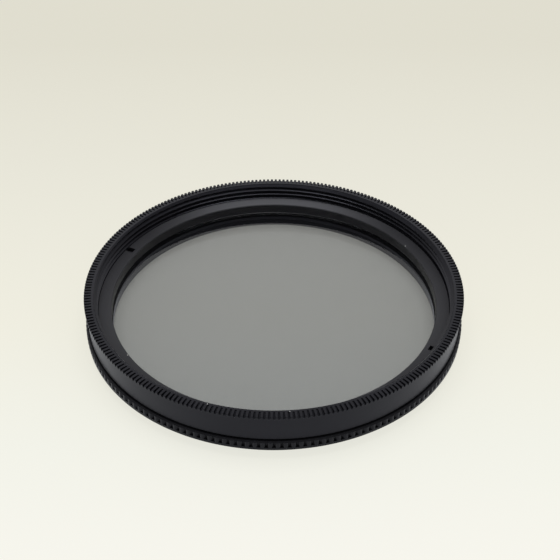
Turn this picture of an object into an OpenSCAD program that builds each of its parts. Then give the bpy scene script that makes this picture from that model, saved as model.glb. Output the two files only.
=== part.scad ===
// Circular polarizing filter for a camera lens, 52 mm thread.
// A knurled front ring carries the glass and turns in a base ring that screws into the lens.
// It lies on the end of its lens thread, front side up, with the optical axis on +Z.

/* [Heights] */

// Height from the end of the lens thread to the front face, mm
total_height = 7.5; // [6.5:0.1:9]
// Depth of the fine serration below the front face, mm
rim_depth = 0.42; // [0.3:0.02:0.8]
// Depth of the underside of the front ring's flange, mm
flange_depth = 4.25; // [3.5:0.05:5]
// Running gap seen between the two rings, mm
ring_gap = 0.13; // [0.08:0.01:0.3]
// Depth of the underside of the notched part of the base ring, mm
shoulder_depth = 6.08; // [5.5:0.02:6.5]

/* [Diameters] */

// Major radius of the M52 x 0.75 thread, front and back, mm
thread_radius = 26; // [24.5:0.5:27.5]
// Wall from the front thread out to the crests of the fine serration, mm
rim_wall = 1.4; // [1.2:0.05:1.8]
// Step from the crests of the fine serration in to the smooth band, mm
band_step = 0.3; // [0.15:0.05:0.5]
// Stand-out of the base ring's teeth beyond the fine serration, mm
base_stand = 0.1; // [0.05:0.05:0.3]

/* [Front thread] */

// Depth of the free front thread down to the retaining ring, mm
thread_depth = 2.5; // [2.2:0.1:2.8]

/* [Serrations] */

// Number of slots in the fine serration
slot_count = 270; // [240:2:300]
// Width of the plain strip between the thread and the slots, mm
plain_strip = 0.36; // [0.3:0.02:0.8]
// Depth of a slot where it starts, beside the plain strip, mm
slot_start = 0.12; // [0.05:0.01:0.25]
// Width of a slot at its bottom, mm
slot_width = 0.2; // [0.1:0.01:0.3]
// Slope of each flank of a slot from upright, degrees
slot_flank = 12; // [5:1:25]
// Number of notches round the base ring
notch_count = 170; // [150:2:190]
// Depth of a notch, mm
notch_depth = 0.3; // [0.15:0.01:0.35]
// Share of the pitch that a tooth crest takes
tooth_share = 0.36; // [0.25:0.01:0.5]
// Height of the closed rim above the notches, mm
notch_rim = 0.16; // [0.1:0.01:0.3]

/* [Glass] */

// Distance from the thread's radius in to the edge of the glass and films, mm
glass_inset = 1.5; // [1.4:0.05:2]
// Thickness of each glass, mm
glass_thickness = 0.8; // [0.7:0.05:1]
// Thickness of the polarizing film, mm
polarizer_thickness = 0.15; // [0.1:0.01:0.2]
// Thickness of the quarter-wave film, mm
retarder_thickness = 0.1; // [0.06:0.01:0.15]
// Distance from the thread's radius in to the retaining ring, which passes the thread's crests, mm
retainer_inset = 0.5; // [0.45:0.05:0.7]
// Width of the retaining ring's face, mm
retainer_width = 1.85; // [1.5:0.05:2.2]
// Height of the retaining ring, mm
retainer_height = 1.45; // [1.2:0.05:1.6]
// Width of the ledge under the glass, mm
ledge_width = 0.9; // [0.7:0.05:1.3]

/* [Spanner notches] */

// Direction of the first spanner notch from +X, degrees
spanner_angle = 152.5; // [0:0.5:180]
// Width of a spanner notch, mm
spanner_width = 0.95; // [0.7:0.05:1.4]
// Depth of a spanner notch, mm
spanner_depth = 0.7; // [0.4:0.05:0.9]
// Length of a spanner notch from the edge of the retaining ring, mm
spanner_length = 1.2; // [0.8:0.05:1.4]

/* [Turning fit] */

// Distance from the thread's radius in to the outside of the front ring's sleeve, mm
sleeve_inset = 0.7; // [0.5:0.05:0.8]
// Radial clearance between the sleeve and the base ring, mm
running_clearance = 0.06; // [0.03:0.01:0.1]
// Thickness of the ledge under the glass, mm
ledge_thickness = 0.5; // [0.4:0.05:0.7]
// Width of the base ring's floor under the sleeve, mm
floor_width = 1.6; // [1.2:0.05:1.8]
// Wire diameter of the snap ring, mm
wire_diameter = 0.5; // [0.4:0.05:0.6]
// Depth of the snap ring's centre below the flange, mm
wire_drop = 0.9; // [0.7:0.05:1.1]
// Gap between the ends of the snap ring, degrees
wire_gap = 9; // [4:1:20]

/* [Hidden] */

$fn = 180;

// Small chamfers that break the sharp edges.
edge_break = 0.1;
// Chamfer at the foot of the notched part.
shoulder_chamfer = 0.3;
// Clearance of the glass in its pocket.
glass_clearance = 0.05;
// Clearance of the wire in its two grooves, up and down.
wire_clearance = 0.05;
// Axial clearance between the end of the sleeve and the floor of the base ring.
end_clearance = 0.1;
// Overlap that lets a cut run past a face.
past = 0.5;

// Heights above the end of the lens thread.
rim_z = total_height - rim_depth;
retainer_z = total_height - thread_depth;
glass_top_z = retainer_z - retainer_height;
polarizer_top_z = glass_top_z - glass_thickness;
retarder_top_z = polarizer_top_z - polarizer_thickness;
rear_top_z = retarder_top_z - retarder_thickness;
ledge_z = rear_top_z - glass_thickness;
sleeve_z = ledge_z - ledge_thickness;
flange_z = total_height - flange_depth;
base_top_z = flange_z - ring_gap;
shoulder_z = total_height - shoulder_depth;
floor_z = sleeve_z - end_clearance;
wire_z = flange_z - wire_drop;

// Radii of the outside.
rim_radius = thread_radius + rim_wall;
band_radius = rim_radius - band_step;
base_radius = rim_radius + base_stand;
slot_inner_radius = thread_radius + plain_strip;

// Radii round the glass.
glass_radius = thread_radius - glass_inset;
pocket_radius = glass_radius + glass_clearance;
ledge_radius = glass_radius - ledge_width;
retainer_radius = thread_radius - retainer_inset;
retainer_bore_radius = retainer_radius - retainer_width;
spanner_inner_radius = retainer_radius - spanner_length;

// Radii of the turning fit.
sleeve_radius = thread_radius - sleeve_inset;
base_bore_radius = sleeve_radius - floor_width;
bearing_radius = sleeve_radius + running_clearance;
wire_ring_radius = sleeve_radius;
groove_half = wire_diameter / 2 + wire_clearance;
sleeve_groove_radius = wire_ring_radius - wire_diameter / 2 - 0.08;
base_groove_radius = wire_ring_radius + wire_diameter / 2 + 0.1;

// Fine serration: the floor of a slot falls from the front face to the outer edge.
slot_lip = 0.06;
slot_fall = rim_depth - slot_lip - slot_start;
slot_run = rim_radius - slot_inner_radius;
slot_slope = atan(slot_fall / slot_run);
slot_height = 1;

// Coarse notches: their floor and mouth, seen from above.
notch_pitch = 360 / notch_count;
notch_mouth = base_radius * 2 * PI * (1 - tooth_share) / notch_count;
notch_floor = notch_mouth / 3;
notch_flare = (notch_mouth - notch_floor) / notch_depth;

// Cross-section of the front ring: serrated rim, smooth band, flange, sleeve and glass pocket.
module front_ring_section() {
    polygon([
        [thread_radius + edge_break, total_height],
        [rim_radius - edge_break / 2, total_height],
        [rim_radius, total_height - edge_break / 2],
        [rim_radius, rim_z],
        [band_radius, rim_z],
        [band_radius, flange_z + edge_break],
        [band_radius - edge_break, flange_z],
        [sleeve_radius, flange_z],
        [sleeve_radius, wire_z + groove_half],
        [sleeve_groove_radius, wire_z + groove_half],
        [sleeve_groove_radius, wire_z - groove_half],
        [sleeve_radius, wire_z - groove_half],
        [sleeve_radius, sleeve_z + edge_break],
        [sleeve_radius - edge_break, sleeve_z],
        [ledge_radius, sleeve_z],
        [ledge_radius, ledge_z],
        [pocket_radius, ledge_z],
        [pocket_radius, glass_top_z],
        [retainer_radius, glass_top_z],
        [retainer_radius, retainer_z],
        [thread_radius, retainer_z],
        [thread_radius, total_height - edge_break]
    ]);
}

// One slot of the fine serration, as the straight run of the cutter.
module serration_slot() {
    widening = slot_height * tan(slot_flank);
    translate([slot_inner_radius, 0, total_height - slot_start])
        rotate([0, 90 + slot_slope, 0])
            linear_extrude(height = slot_run + 1)
                polygon([
                    [0, slot_width / 2],
                    [-slot_height, slot_width / 2 + widening],
                    [-slot_height, -slot_width / 2 - widening],
                    [0, -slot_width / 2]
                ]);
}

// Front ring that the fingers turn. The glass and its retaining ring ride in it.
module front_ring() {
    color("#2b2b2e")
        difference() {
            rotate_extrude()
                front_ring_section();
            for (i = [0 : slot_count - 1])
                rotate([0, 0, (i + 0.5) * 360 / slot_count])
                    serration_slot();
        }
}

// Threaded ring that clamps the glass in its pocket, with two spanner notches.
module glass_retaining_ring() {
    color("#3a3a3e")
        difference() {
            rotate_extrude()
                polygon([
                    [retainer_bore_radius, glass_top_z],
                    [retainer_radius, glass_top_z],
                    [retainer_radius, retainer_z],
                    [retainer_bore_radius + edge_break, retainer_z],
                    [retainer_bore_radius, retainer_z - edge_break]
                ]);
            for (turn = [0, 180])
                rotate([0, 0, spanner_angle + turn])
                    translate([
                        spanner_inner_radius,
                        -spanner_width / 2,
                        retainer_z - spanner_depth
                    ])
                        cube([
                            retainer_radius - spanner_inner_radius + past,
                            spanner_width,
                            spanner_depth + past
                        ]);
        }
}

// A flat round disc of the laminate, with its top face at the given height.
module laminate_disc(top_z, thickness) {
    translate([0, 0, top_z - thickness])
        cylinder(r = glass_radius, h = thickness);
}

// Outer cover glass.
module front_glass() {
    color("#9aa09a", 0.5)
        laminate_disc(glass_top_z, glass_thickness);
}

// Linear polarizing film between the glasses.
module polarizing_film() {
    color("#5c625f", 0.6)
        laminate_disc(polarizer_top_z, polarizer_thickness);
}

// Quarter-wave film behind the polarizer.
module quarter_wave_film() {
    color("#b9bfb8", 0.4)
        laminate_disc(retarder_top_z, retarder_thickness);
}

// Inner cover glass, resting on the ledge.
module rear_glass() {
    color("#9aa09a", 0.5)
        laminate_disc(rear_top_z, glass_thickness);
}

// Split wire that keeps the front ring in the base ring and lets it turn.
module snap_ring() {
    color("#8d9196")
        translate([0, 0, wire_z])
            rotate([0, 0, 270 + wire_gap / 2])
                rotate_extrude(angle = 360 - wire_gap)
                    translate([wire_ring_radius, 0])
                        circle(d = wire_diameter, $fn = 24);
}

// One notch of the base ring. A rim closes it above, and below it ends on the chamfer.
module notch() {
    mouth = notch_floor + notch_flare * (notch_depth + past);
    low_z = shoulder_z + shoulder_chamfer - edge_break / 2;
    translate([base_radius - notch_depth, 0, low_z])
        linear_extrude(height = base_top_z - notch_rim - low_z)
            polygon([
                [0, -notch_floor / 2],
                [notch_depth + past, -mouth / 2],
                [notch_depth + past, mouth / 2],
                [0, notch_floor / 2]
            ]);
}

// Cross-section of the base ring: lens thread, notched part, bearing and groove of the sleeve, floor.
module base_ring_section() {
    polygon([
        [base_bore_radius, 0],
        [thread_radius - edge_break, 0],
        [thread_radius, edge_break],
        [thread_radius, shoulder_z],
        [base_radius - shoulder_chamfer, shoulder_z],
        [base_radius, shoulder_z + shoulder_chamfer],
        [base_radius, base_top_z - edge_break],
        [base_radius - edge_break, base_top_z],
        [bearing_radius, base_top_z],
        [bearing_radius, wire_z + groove_half],
        [base_groove_radius, wire_z + groove_half],
        [base_groove_radius, wire_z - groove_half],
        [bearing_radius, wire_z - groove_half],
        [bearing_radius, floor_z],
        [base_bore_radius, floor_z]
    ]);
}

// Base ring: it screws into the lens and holds the sleeve of the front ring.
module base_ring() {
    color("#26262a")
        difference() {
            rotate_extrude()
                base_ring_section();
            for (i = [0 : notch_count - 1])
                rotate([0, 0, (i + 0.5) * notch_pitch])
                    notch();
        }
}

base_ring();
snap_ring();
front_ring();
glass_retaining_ring();
front_glass();
polarizing_film();
quarter_wave_film();
rear_glass();
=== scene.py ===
import math
import random

import bmesh
import bpy
from mathutils import Matrix, Vector


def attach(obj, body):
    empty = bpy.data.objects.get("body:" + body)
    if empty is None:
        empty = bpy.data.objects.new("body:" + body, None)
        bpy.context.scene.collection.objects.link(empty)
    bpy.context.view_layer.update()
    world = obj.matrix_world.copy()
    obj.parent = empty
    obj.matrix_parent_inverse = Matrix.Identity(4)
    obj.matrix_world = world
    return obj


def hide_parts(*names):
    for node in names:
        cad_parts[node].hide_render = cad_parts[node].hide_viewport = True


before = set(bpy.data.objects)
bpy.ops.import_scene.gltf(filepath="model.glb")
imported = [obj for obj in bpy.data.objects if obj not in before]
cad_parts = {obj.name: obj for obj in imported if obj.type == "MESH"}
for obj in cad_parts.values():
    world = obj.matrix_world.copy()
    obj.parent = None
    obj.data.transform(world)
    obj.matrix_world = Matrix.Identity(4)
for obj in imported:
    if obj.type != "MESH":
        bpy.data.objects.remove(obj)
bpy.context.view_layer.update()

MM = 0.001

# Sizes in mm, the same as in part.scad.
TOTAL_HEIGHT = 7.5
RIM_DEPTH = 0.42
RIM_R = 27.4
THREAD_R = 26.0
PITCH = 0.75
RETAINER_Z = 5.0
GLASS_TOP_Z = 3.55
GLASS_BOTTOM_Z = 1.7
GLASS_R = 24.5
BASE_R = 27.5
BASE_TOP_Z = 3.12
SHOULDER_Z = 1.42
SHOULDER_CHAMFER = 0.3
NOTCHES = 170
NOTCH_DEPTH = 0.3
NOTCH_RIM = 0.16
TOOTH_SHARE = 0.36
FLOOR_Z = 1.1
WIRE_Z = 2.35
BEARING_R = 25.36
BASE_BORE_R = 23.7
BASE_GROOVE_R = 25.65
GROOVE_HALF = 0.3
EDGE = 0.1

# Sizes in mm that only the visual pieces have.
LOWER_RIM = 0.4          # plain rim under the notches of the base ring
TOP_CHAMFER = 0.24       # on the base ring, beside the gap between the rings
EDGE_FLAT = 0.06         # broken edges of bores
SLOPE = 0.02             # short slopes that round off an edge
TOOTH_CROWN = 0.02       # how far the sides of a tooth of the base ring lie under its middle
CROWN_SHARE = 0.06       # their width, as a share of the pitch of the notches
NOTCH_TO_FLOOR = 7       # a notch is this many times as wide at its mouth as at its floor
LEAD = 0.12              # chamfer at the start of the lens thread
RELIEF = 0.45            # height of the lens thread's run-out under the shoulder
RELIEF_FLAT = 0.2
RELIEF_SLOPE = 1.7
LENS_THREAD_DEPTH = 0.6134 * PITCH
FRONT_THREAD_DEPTH = 0.5413 * PITCH
THREAD_START = 0.29      # turn of the front thread, as a share of the pitch
THREAD_LIFT = 0.012      # keeps the turns off the retaining ring
THREAD_STEPS = 720
LEAD_IN_SHARE = 0.75     # height of the front thread's lead-in, as a share of its depth
LEAD_IN_SLOPE = 1.2
THREAD_ROOT = 0.04       # how far the front thread's turns reach into the wall
THREAD_CLEAR = 0.004     # keeps the turns' roots off the wall's face
LAMINATE_STEPS = 256
LAMINATE_BEVEL = 0.12


# ---------------------------------------------------------------- camera

LENS_MM = 75.09
SENSOR_MM = 36.0
CAMERA_PLACE = (0.0, -132.69, 113.08)
CAMERA_TARGET = (0.875, 0.0, 8.13)
CAMERA_ROLL = math.radians(0.16)


def make_camera():
    data = bpy.data.cameras.new("photo_camera")
    data.lens = LENS_MM
    data.sensor_width = SENSOR_MM
    data.clip_start = 0.005
    data.clip_end = 20.0
    cam = bpy.data.objects.new("photo_camera", data)
    bpy.context.scene.collection.objects.link(cam)
    place = Vector(CAMERA_PLACE) * MM
    target = Vector(CAMERA_TARGET) * MM
    turn = (target - place).to_track_quat("-Z", "Y").to_matrix().to_4x4()
    cam.matrix_world = Matrix.Translation(place) @ turn @ Matrix.Rotation(CAMERA_ROLL, 4, "Z")
    bpy.context.scene.camera = cam


make_camera()


# ---------------------------------------------------------------- node helpers

def new_material(name):
    m = bpy.data.materials.new(name)
    m.use_nodes = True
    t = m.node_tree
    t.nodes.clear()
    out = t.nodes.new("ShaderNodeOutputMaterial")
    return m, t, out


def link(t, a, b):
    t.links.new(a, b)


def feed(t, value, socket):
    """A plain number goes straight onto the socket, anything else is linked."""
    if isinstance(value, (int, float)):
        socket.default_value = value
    else:
        link(t, value, socket)


def math_node(t, op, a, b=None):
    n = t.nodes.new("ShaderNodeMath")
    n.operation = op
    feed(t, a, n.inputs[0])
    if b is not None:
        feed(t, b, n.inputs[1])
    return n.outputs[0]


def product(t, *factors):
    total = factors[0]
    for f in factors[1:]:
        total = math_node(t, "MULTIPLY", total, f)
    return total


def xyz(t, vector):
    n = t.nodes.new("ShaderNodeSeparateXYZ")
    link(t, vector, n.inputs[0])
    return n.outputs["X"], n.outputs["Y"], n.outputs["Z"]


def map_range(t, value, a, b, c, d):
    n = t.nodes.new("ShaderNodeMapRange")
    n.clamp = True
    link(t, value, n.inputs["Value"])
    for key, v in (("From Min", a), ("From Max", b), ("To Min", c), ("To Max", d)):
        n.inputs[key].default_value = v
    return n.outputs["Result"]


def noise(t, vector, scale, detail=3.0, rough=0.5):
    n = t.nodes.new("ShaderNodeTexNoise")
    n.inputs["Scale"].default_value = scale
    n.inputs["Detail"].default_value = detail
    n.inputs["Roughness"].default_value = rough
    link(t, vector, n.inputs["Vector"])
    return n.outputs["Fac"]


def mix_colour(t, fac, a, b):
    n = t.nodes.new("ShaderNodeMix")
    n.data_type = "RGBA"
    link(t, fac, n.inputs["Factor"])
    n.inputs["A"].default_value = (*a, 1.0)
    n.inputs["B"].default_value = (*b, 1.0)
    return n.outputs["Result"]


def turned_coordinates(t):
    """Object coordinates, radius, height, and a vector that only changes across the marks of turning."""
    coord = t.nodes.new("ShaderNodeTexCoord").outputs["Object"]
    x, y, z = xyz(t, coord)
    radius = math_node(t, "SQRT", math_node(t, "ADD", product(t, x, x), product(t, y, y)))
    across = t.nodes.new("ShaderNodeCombineXYZ")
    link(t, radius, across.inputs["X"])
    link(t, z, across.inputs["Z"])
    return coord, radius, z, across.outputs[0]


ACROSS_ROTATION = 0.25


def satin_shader(t, colour, tint, rough, normal, shine, across=0.0):
    """One coated surface. across above 0 scatters light across the marks of turning."""
    p = t.nodes.new("ShaderNodeBsdfPrincipled")
    p.inputs["Metallic"].default_value = 0.0
    p.inputs["IOR"].default_value = 1.5
    feed(t, shine, p.inputs["Specular IOR Level"])
    p.inputs["Specular Tint"].default_value = (*tint, 1.0)
    link(t, colour, p.inputs["Base Color"])
    link(t, rough, p.inputs["Roughness"])
    link(t, normal, p.inputs["Normal"])
    if across:
        p.inputs["Anisotropic"].default_value = across
        p.inputs["Anisotropic Rotation"].default_value = ACROSS_ROTATION
        tangent = t.nodes.new("ShaderNodeTangent")
        tangent.direction_type = "RADIAL"
        tangent.axis = "Z"
        link(t, tangent.outputs[0], p.inputs["Tangent"])
    return p.outputs[0]


CLOUD_SCALE = 180.0
TURNING_SCALE = 9000.0
GRAIN_SCALE = 14000.0
BUMP_STRENGTH = 0.35
BUMP_HEIGHT = 0.000012
# Painted shade: the slots of the front face get this low shine, which renders them darker.
SLOT_PAINTED_SHADE_SHINE = 0.04
CREST_Z = (TOTAL_HEIGHT - 0.04) * MM          # above it lies the front face between the slots
SLOT_Z = (TOTAL_HEIGHT - RIM_DEPTH - 0.01) * MM
LOW_FACE_Z = (TOTAL_HEIGHT - 1.0) * MM        # faces under it lie inside the ring
SLOT_INNER_R = (THREAD_R + 0.2) * MM
SLOT_OUTER_R = (RIM_R - 0.04) * MM


def slot_painted_shade_mask(t, radius, z):
    """1 in the slots of the front face, where the coating's shine is lowered as painted shade."""
    return product(
        t,
        math_node(t, "LESS_THAN", radius, SLOT_OUTER_R),
        math_node(t, "GREATER_THAN", radius, SLOT_INNER_R),
        math_node(t, "LESS_THAN", z, CREST_Z),
        math_node(t, "GREATER_THAN", z, SLOT_Z),
    )


def face_mask(t, z):
    """1 on faced tops: the crests of the front face, and what lies deeper in the ring."""
    upward = xyz(t, t.nodes.new("ShaderNodeNewGeometry").outputs["True Normal"])[2]
    faced = map_range(t, upward, 0.6, 0.9, 0.0, 1.0)
    crest = math_node(t, "GREATER_THAN", z, CREST_Z)
    low = math_node(t, "LESS_THAN", z, LOW_FACE_Z)
    return product(t, faced, math_node(t, "MAXIMUM", crest, low))


def anodised(name, dark, light, tint, wall, face=None, across=0.0, slots=False):
    """Black anodised aluminium: fine grain from etching over faint marks of turning.

    wall and face are (roughness, shine) of walls and of faced tops.
    """
    m, t, out = new_material(name)
    coord, radius, z, vector = turned_coordinates(t)
    cloud = noise(t, coord, CLOUD_SCALE, 3.0, 0.55)
    colour = mix_colour(t, map_range(t, cloud, 0.3, 0.7, 0.0, 1.0), dark, light)
    lines = noise(t, vector, TURNING_SCALE, 2.0, 0.6)
    fine = noise(t, coord, GRAIN_SCALE, 2.0, 0.6)
    both = math_node(t, "ADD", product(t, lines, 0.5), product(t, cloud, 0.5))
    bump = t.nodes.new("ShaderNodeBump")
    bump.inputs["Strength"].default_value = BUMP_STRENGTH
    bump.inputs["Distance"].default_value = BUMP_HEIGHT
    link(t, math_node(t, "ADD", product(t, lines, 0.35), product(t, fine, 0.35)), bump.inputs["Height"])
    normal = bump.outputs["Normal"]
    rough, shine = wall
    # Painted shade: inside the slots of the front face the coating's shine drops, which darkens them.
    if slots:
        shine = map_range(t, slot_painted_shade_mask(t, radius, z), 0.0, 1.0, shine, SLOT_PAINTED_SHADE_SHINE)
    rough = map_range(t, both, 0.3, 0.7, rough - 0.05, rough + 0.05)
    side = satin_shader(t, colour, tint, rough, normal, shine)
    if face is None:
        link(t, side, out.inputs["Surface"])
        return m
    rough, shine = face
    rough = map_range(t, both, 0.3, 0.7, rough - 0.04, rough + 0.04)
    top = satin_shader(t, colour, tint, rough, normal, shine, across)
    mix = t.nodes.new("ShaderNodeMixShader")
    link(t, face_mask(t, z), mix.inputs[0])
    link(t, side, mix.inputs[1])
    link(t, top, mix.inputs[2])
    link(t, mix.outputs[0], out.inputs["Surface"])
    return m


def steel(name):
    """Drawn spring wire."""
    m, t, out = new_material(name)
    coord = t.nodes.new("ShaderNodeTexCoord").outputs["Object"]
    p = t.nodes.new("ShaderNodeBsdfPrincipled")
    p.inputs["Metallic"].default_value = 1.0
    f = noise(t, coord, 2500.0, 3.0, 0.6)
    link(t, mix_colour(t, f, (0.42, 0.42, 0.43), (0.56, 0.56, 0.57)), p.inputs["Base Color"])
    link(t, map_range(t, f, 0.3, 0.7, 0.22, 0.38), p.inputs["Roughness"])
    link(t, p.outputs[0], out.inputs["Surface"])
    return m


GLASS_TINT = (0.53, 0.54, 0.555)
SHADOW_TINT = (0.70, 0.705, 0.72)


def laminate_glass(name):
    """Neutral grey polarizing laminate between polished glasses.

    Shadow rays and diffuse rays pass it straight, so that the light reaches the paper under it.
    """
    m, t, out = new_material(name)
    p = t.nodes.new("ShaderNodeBsdfPrincipled")
    p.inputs["Base Color"].default_value = (*GLASS_TINT, 1.0)
    p.inputs["Roughness"].default_value = 0.0
    p.inputs["IOR"].default_value = 1.5
    p.inputs["Transmission Weight"].default_value = 1.0
    clear = t.nodes.new("ShaderNodeBsdfTransparent")
    clear.inputs["Color"].default_value = (*SHADOW_TINT, 1.0)
    path = t.nodes.new("ShaderNodeLightPath")
    straight = math_node(t, "MAXIMUM", path.outputs["Is Shadow Ray"], path.outputs["Is Diffuse Ray"])
    mix = t.nodes.new("ShaderNodeMixShader")
    link(t, straight, mix.inputs[0])
    link(t, p.outputs[0], mix.inputs[1])
    link(t, clear.outputs[0], mix.inputs[2])
    link(t, mix.outputs[0], out.inputs["Surface"])
    return m


def dust_material(name, a, b):
    m, t, out = new_material(name)
    coord = t.nodes.new("ShaderNodeTexCoord").outputs["Object"]
    p = t.nodes.new("ShaderNodeBsdfPrincipled")
    p.inputs["Roughness"].default_value = 0.85
    f = noise(t, coord, 9000.0, 2.0, 0.6)
    link(t, mix_colour(t, f, a, b), p.inputs["Base Color"])
    link(t, p.outputs[0], out.inputs["Surface"])
    return m


# ---------------------------------------------------------------- mesh helpers

def make_object(name, verts, faces, material, smooth_angle=32.0):
    bm = bmesh.new()
    vs = [bm.verts.new(Vector(v) * MM) for v in verts]
    bm.verts.ensure_lookup_table()
    for f in faces:
        bm.faces.new([vs[i] for i in f])
    bmesh.ops.remove_doubles(bm, verts=bm.verts, dist=1e-7)
    bmesh.ops.dissolve_degenerate(bm, edges=bm.edges, dist=1e-8)
    bmesh.ops.recalc_face_normals(bm, faces=bm.faces)
    limit = math.radians(smooth_angle)
    for f in bm.faces:
        f.smooth = True
    for e in bm.edges:
        e.smooth = len(e.link_faces) == 2 and e.calc_face_angle(0.0) < limit
    mesh = bpy.data.meshes.new(name)
    bm.to_mesh(mesh)
    bm.free()
    ob = bpy.data.objects.new(name, mesh)
    bpy.context.scene.collection.objects.link(ob)
    mesh.materials.append(material)
    return ob


def ring_mesh(columns, closed=True):
    """Vertices and quads of a ring. columns holds one section of points for each angle of a full turn.

    The section is closed, or it starts and ends on the axis.
    """
    count = len(columns[0])
    verts = [p for col in columns for p in col]
    faces = []
    for c in range(len(columns) - 1):
        for k in range(count if closed else count - 1):
            n = (k + 1) % count
            faces.append((c * count + k, c * count + n, (c + 1) * count + n, (c + 1) * count + k))
    return verts, faces


def at(r, a, z):
    return (r * math.cos(a), r * math.sin(a), z)


# One turn of a 60 degree thread, as (share of the pitch, share of the depth from the crest).
TURN = ((0.0, 0.0), (0.125, 0.0), (0.4375, 1.0), (0.6875, 1.0))


def thread_depth_at(phase):
    f = phase % 1.0
    points = TURN + ((1.0, 0.0),)
    for (x0, y0), (x1, y1) in zip(points, points[1:]):
        if x0 <= f <= x1:
            return y0 + (y1 - y0) * (f - x0) / (x1 - x0)
    return 0.0


def thread_rows(angle, z0, z1, start=0.0):
    """(z, share of depth) up a right-hand thread at this angle.

    The rows follow the turns and stop at both ends.
    """
    lift = angle / (2 * math.pi) + start
    first = math.floor(z0 / PITCH) - 2
    last = math.ceil(z1 / PITCH) + 1
    rows = []
    for k in range(first, last + 1):
        for share, _ in TURN:
            z = min(max(PITCH * (k + share + lift), z0), z1)
            rows.append((z, thread_depth_at(z / PITCH - lift)))
    return rows


# ---------------------------------------------------------------- materials

# slots=True paints shade into the slots of the front face by lowering their shine.
ring_black = anodised(
    "black_anodised", (0.0040, 0.0040, 0.0052), (0.0065, 0.0065, 0.0082), (0.86, 0.86, 1.0),
    wall=(0.33, 0.20), face=(0.25, 0.42), slots=True,
)
base_black = anodised(
    "black_anodised_base", (0.0040, 0.0040, 0.0048), (0.0065, 0.0065, 0.0076), (0.88, 0.88, 1.0),
    wall=(0.35, 0.15),
)
face_black = anodised(
    "black_anodised_faced", (0.0045, 0.0045, 0.006), (0.0075, 0.0075, 0.0095), (0.94, 0.94, 1.0),
    wall=(0.36, 0.30), face=(0.5, 1.0), across=0.95,
)
wire_steel = steel("spring_wire")
glass = laminate_glass("grey_laminate")
dust_light = dust_material("dust_light", (0.75, 0.74, 0.70), (0.9, 0.89, 0.86))
dust_dark = dust_material("dust_dark", (0.16, 0.15, 0.13), (0.3, 0.28, 0.25))

for name, material in (
    ("base_ring", base_black),
    ("snap_ring", wire_steel),
    ("front_ring", ring_black),
    ("glass_retaining_ring", face_black),
    ("front_glass", glass),
    ("polarizing_film", glass),
    ("quarter_wave_film", glass),
    ("rear_glass", glass),
):
    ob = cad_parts[name]
    ob.data.materials.clear()
    ob.data.materials.append(material)


# ---------------------------------------------------------------- base ring with its lens thread

def base_ring():
    pitch = 2 * math.pi / NOTCHES
    crest = pitch * TOOTH_SHARE / 2
    floor_half = pitch * (1 - TOOTH_SHARE) / NOTCH_TO_FLOOR / 2
    bevel = CROWN_SHARE * pitch
    angles = []
    for i in range(NOTCHES):
        c = i * pitch
        half = (i + 0.5) * pitch
        angles += [
            (c - crest, -TOOTH_CROWN), (c - crest + bevel, 0.0),
            (c + crest - bevel, 0.0), (c + crest, -TOOTH_CROWN),
            (half - floor_half, -NOTCH_DEPTH), (half + floor_half, -NOTCH_DEPTH),
        ]
    angles.append((2 * math.pi + angles[0][0], angles[0][1]))
    depth = LENS_THREAD_DEPTH
    columns = []
    for a, sink in angles:
        col = [(BASE_BORE_R, EDGE_FLAT), (BASE_BORE_R + EDGE_FLAT, 0.0)]
        col.append((THREAD_R - LEAD, 0.0))
        col.append((THREAD_R - SLOPE, LEAD))
        for z, share in thread_rows(a, LEAD + SLOPE, SHOULDER_Z):
            r = THREAD_R - share * depth
            if z > SHOULDER_Z - RELIEF:
                r = min(r, THREAD_R - depth + max(0.0, SHOULDER_Z - RELIEF_FLAT - z) * RELIEF_SLOPE)
            col.append((r, z))
        col.append((THREAD_R - depth, SHOULDER_Z))
        tip = BASE_R + sink
        closed = BASE_R - EDGE / 2
        low = SHOULDER_Z + SHOULDER_CHAMFER - EDGE / 2
        high = BASE_TOP_Z - NOTCH_RIM
        col += [
            (BASE_R - SHOULDER_CHAMFER, SHOULDER_Z), (closed, low),
            (closed, low + LOWER_RIM), (tip, low + LOWER_RIM + SLOPE),
            (tip, high - SLOPE), (max(closed, tip), high),
            (BASE_R - TOP_CHAMFER, BASE_TOP_Z),
            (BEARING_R + EDGE / 2, BASE_TOP_Z), (BEARING_R, BASE_TOP_Z - EDGE / 2),
            (BEARING_R, WIRE_Z + GROOVE_HALF), (BASE_GROOVE_R, WIRE_Z + GROOVE_HALF),
            (BASE_GROOVE_R, WIRE_Z - GROOVE_HALF), (BEARING_R, WIRE_Z - GROOVE_HALF),
            (BEARING_R, FLOOR_Z), (BASE_BORE_R + EDGE_FLAT, FLOOR_Z),
            (BASE_BORE_R, FLOOR_Z - EDGE_FLAT),
        ]
        columns.append([at(r, a, z) for r, z in col])
    verts, faces = ring_mesh(columns)
    ob = make_object("base_ring_threaded", verts, faces, base_black)
    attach(ob, "base")
    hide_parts("base_ring")
    return ob


base_ring()


# ---------------------------------------------------------------- turns of the front thread

def front_thread():
    depth = FRONT_THREAD_DEPTH
    z0, z1 = RETAINER_Z + THREAD_LIFT, TOTAL_HEIGHT - EDGE
    back = THREAD_R + THREAD_ROOT
    columns = []
    for i in range(THREAD_STEPS + 1):
        a = 2 * math.pi * i / THREAD_STEPS
        col = [(back, z0)]
        for z, share in thread_rows(a, z0, z1, THREAD_START):
            r = THREAD_R - (1 - share) * depth - THREAD_CLEAR
            r = max(r, THREAD_R - depth + (z - (z1 - depth * LEAD_IN_SHARE)) * LEAD_IN_SLOPE)
            col.append((min(r, THREAD_R - THREAD_CLEAR), z))
        col.append((back, z1))
        columns.append([at(r, a, z) for r, z in col])
    verts, faces = ring_mesh(columns)
    ob = make_object("front_thread_turns", verts, faces, ring_black)
    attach(ob, "front")
    return ob


front_thread()


# ---------------------------------------------------------------- glass

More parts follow.
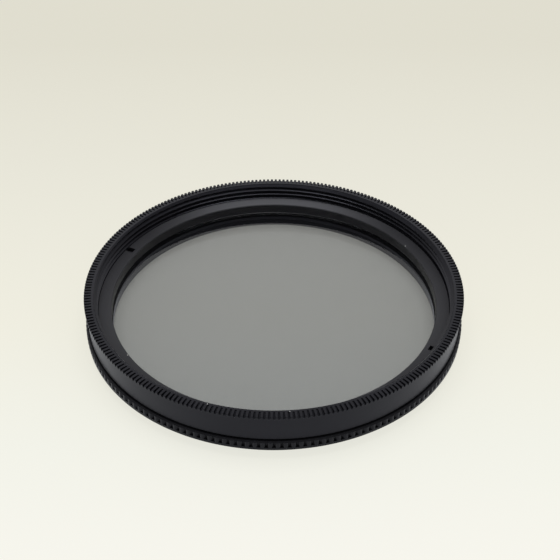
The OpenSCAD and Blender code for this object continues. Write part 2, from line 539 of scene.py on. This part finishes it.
def laminate():
    """Glasses and films as the one cemented disc that they are."""
    bevel = LAMINATE_BEVEL
    section = [
        (0.0, GLASS_BOTTOM_Z), (GLASS_R - bevel, GLASS_BOTTOM_Z), (GLASS_R, GLASS_BOTTOM_Z + bevel),
        (GLASS_R, GLASS_TOP_Z - bevel), (GLASS_R - bevel, GLASS_TOP_Z), (0.0, GLASS_TOP_Z),
    ]
    columns = []
    for i in range(LAMINATE_STEPS + 1):
        a = 2 * math.pi * i / LAMINATE_STEPS
        columns.append([at(r, a, z) for r, z in section])
    verts, faces = ring_mesh(columns, closed=False)
    ob = make_object("filter_laminate", verts, faces, glass, 30.0)
    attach(ob, "front")
    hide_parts("front_glass", "polarizing_film", "quarter_wave_film", "rear_glass")
    return ob


laminate()


# ---------------------------------------------------------------- dust

DUST_UNEVEN = 0.22
DUST_LONG = 1.35
DUST_NARROW = 0.75
DUST_LIFT = 0.3          # of its height, above the face it lies on
DUST_SEED = 40


def speck(name, r, theta, z, size, flat, material, seed):
    rng = random.Random(seed)
    bm = bmesh.new()
    bmesh.ops.create_icosphere(bm, subdivisions=2, radius=1.0)
    turn = rng.uniform(0, math.pi)
    for v in bm.verts:
        k = 1.0 + rng.uniform(-DUST_UNEVEN, DUST_UNEVEN)
        x, y, h = v.co * k
        x, y = x * DUST_LONG, y * DUST_NARROW
        v.co = Vector((
            x * math.cos(turn) - y * math.sin(turn),
            x * math.sin(turn) + y * math.cos(turn),
            h * flat,
        ))
        v.co *= size * MM / 2
    a = math.radians(theta)
    centre = Vector((r * math.cos(a), r * math.sin(a), z + size * flat * DUST_LIFT)) * MM
    for v in bm.verts:
        v.co += centre
    bmesh.ops.recalc_face_normals(bm, faces=bm.faces)
    for f in bm.faces:
        f.smooth = True
    mesh = bpy.data.meshes.new(name)
    bm.to_mesh(mesh)
    bm.free()
    mesh.materials.append(material)
    ob = bpy.data.objects.new(name, mesh)
    bpy.context.scene.collection.objects.link(ob)
    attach(ob, "front")
    return ob


# Name, radius, angle in degrees, height, size, flatness and material.
SPECKS = (
    ("dust_1", 26.75, 19.2, TOTAL_HEIGHT, 0.12, 0.2, dust_light),
    ("dust_2", 23.80, 31.3, RETAINER_Z, 0.14, 0.5, dust_light),
    ("dust_3", 23.85, 212.2, RETAINER_Z, 0.14, 0.5, dust_light),
    ("dust_4", 26.30, 251.0, TOTAL_HEIGHT, 0.11, 0.2, dust_light),
    ("dust_5", 26.30, 274.4, TOTAL_HEIGHT, 0.10, 0.2, dust_light),
    ("dust_6", 13.61, 266.5, GLASS_TOP_Z, 0.20, 0.4, dust_dark),
    ("dust_7", 18.41, 257.2, GLASS_TOP_Z, 0.14, 0.3, dust_dark),
    ("dust_8", 15.49, 238.1, GLASS_TOP_Z, 0.13, 0.3, dust_dark),
)
for k, (name, r, theta, z, size, flat, material) in enumerate(SPECKS):
    speck(name, r, theta, z, size, flat, material, DUST_SEED + k)


# ---------------------------------------------------------------- floor, lamps and world

# Paper colours with a painted fall-off of light, from near the camera (brighter) to far behind the filter
# (darker): (Y in mm, linear colour).
PAPER_WITH_PAINTED_FALLOFF = (
    (-42.0, (0.91, 0.90, 0.83)),
    (-25.0, (0.88, 0.88, 0.80)),
    (0.0, (0.855, 0.84, 0.737)),
    (43.0, (0.791, 0.775, 0.679)),
    (90.0, (0.735, 0.715, 0.615)),
)

# The paper's own light, as a share of what the camera sees of it straight, mirrored and through the glass.
PAPER_SEEN = 0.85
PAPER_MIRRORED = 0.8
PAPER_THROUGH_GLASS = 0.12
# What the metal mirrors of it is neutral, as in the photo.
STUDIO_WHITE = (0.94, 0.96, 1.0)

PAPER_HALF = 1.5             # in m
PAPER_Z = -0.00002           # just under the ring, so that the two faces don't lie in one plane


def paper(name):
    """White paper that is partly lit from behind, for camera, glossy and transmission rays only."""
    m, t, out = new_material(name)
    across = xyz(t, t.nodes.new("ShaderNodeTexCoord").outputs["Object"])[1]
    # Painted fall-off of light: the paper's colour darkens from the camera side towards the back.
    ramp = t.nodes.new("ShaderNodeValToRGB")
    near, far = PAPER_WITH_PAINTED_FALLOFF[0][0], PAPER_WITH_PAINTED_FALLOFF[-1][0]
    stops = ramp.color_ramp.elements
    stops[0].color = (*PAPER_WITH_PAINTED_FALLOFF[0][1], 1.0)
    stops[-1].color = (*PAPER_WITH_PAINTED_FALLOFF[-1][1], 1.0)
    for y, colour in PAPER_WITH_PAINTED_FALLOFF[1:-1]:
        stops.new((y - near) / (far - near)).color = (*colour, 1.0)
    link(t, map_range(t, across, near * MM, far * MM, 0.0, 1.0), ramp.inputs[0])
    p = t.nodes.new("ShaderNodeBsdfPrincipled")
    p.inputs["Roughness"].default_value = 0.9
    p.inputs["Specular IOR Level"].default_value = 0.0
    link(t, ramp.outputs["Color"], p.inputs["Base Color"])
    glow = t.nodes.new("ShaderNodeEmission")
    path = t.nodes.new("ShaderNodeLightPath")
    straight = math_node(t, "SUBTRACT", 1.0, path.outputs["Is Transmission Ray"])
    tone = t.nodes.new("ShaderNodeMix")
    tone.data_type = "RGBA"
    link(t, product(t, path.outputs["Is Glossy Ray"], straight), tone.inputs["Factor"])
    link(t, ramp.outputs["Color"], tone.inputs["A"])
    tone.inputs["B"].default_value = (*STUDIO_WHITE, 1.0)
    link(t, tone.outputs["Result"], glow.inputs["Color"])
    # A ray that passed the clear glass counts as glossy too.
    bounced = map_range(t, path.outputs["Is Transmission Ray"], 0.0, 1.0, PAPER_MIRRORED, PAPER_THROUGH_GLASS)
    share = math_node(
        t, "MAXIMUM", product(t, path.outputs["Is Camera Ray"], PAPER_SEEN),
        product(t, path.outputs["Is Glossy Ray"], bounced),
    )
    mix = t.nodes.new("ShaderNodeMixShader")
    link(t, share, mix.inputs[0])
    link(t, p.outputs[0], mix.inputs[1])
    link(t, glow.outputs[0], mix.inputs[2])
    link(t, mix.outputs[0], out.inputs["Surface"])
    return m


def floor():
    half = PAPER_HALF
    corners = [(-half, -half, 0), (half, -half, 0), (half, half, 0), (-half, half, 0)]
    mesh = bpy.data.meshes.new("floor")
    mesh.from_pydata(corners, [], [(0, 1, 2, 3)])
    ob = bpy.data.objects.new("floor", mesh)
    ob.location.z = PAPER_Z
    bpy.context.scene.collection.objects.link(ob)
    mesh.materials.append(paper("floor_paper"))


floor()


def area(name, place, target, size_x, size_y, power, colour=(1.0, 1.0, 1.0)):
    data = bpy.data.lights.new(name, "AREA")
    data.shape = "RECTANGLE"
    data.size = size_x
    data.size_y = size_y
    data.energy = power
    data.color = colour
    ob = bpy.data.objects.new(name, data)
    bpy.context.scene.collection.objects.link(ob)
    ob.location = place
    ob.rotation_euler = (Vector(target) - Vector(place)).to_track_quat("-Z", "Y").to_euler()
    return ob


area("top_softbox", (0.0, 0.05, 0.80), (0, 0, 0), 0.6, 0.5, 4.0, (0.97, 0.985, 1.0))

# Strength of the world as light, and as metal and glass mirror it: a backdrop that darkens upwards
# between two heights, given as the Z of the direction.
WORLD_LIGHT = 0.6
WORLD_LOW = 0.85
WORLD_HIGH = 0.3
BACKDROP_FROM = 0.52
BACKDROP_TO = 0.74

world = bpy.data.worlds.new("studio")
world.use_nodes = True
tree = world.node_tree
background = tree.nodes["Background"]
background.inputs["Color"].default_value = (1.0, 1.0, 1.0, 1.0)
rays = tree.nodes.new("ShaderNodeLightPath")
mirrored = math_node(tree, "MAXIMUM", rays.outputs["Is Glossy Ray"], rays.outputs["Is Transmission Ray"])
shown = math_node(tree, "MAXIMUM", rays.outputs["Is Camera Ray"], mirrored)
upward = xyz(tree, tree.nodes.new("ShaderNodeTexCoord").outputs["Generated"])[2]
sky = map_range(tree, upward, BACKDROP_FROM, BACKDROP_TO, WORLD_LOW, WORLD_HIGH)
strength = math_node(
    tree, "ADD", product(tree, shown, sky),
    product(tree, math_node(tree, "SUBTRACT", 1.0, shown), WORLD_LIGHT),
)
link(tree, strength, background.inputs["Strength"])
bpy.context.scene.world = world

bpy.context.scene.view_settings.view_transform = "Standard"
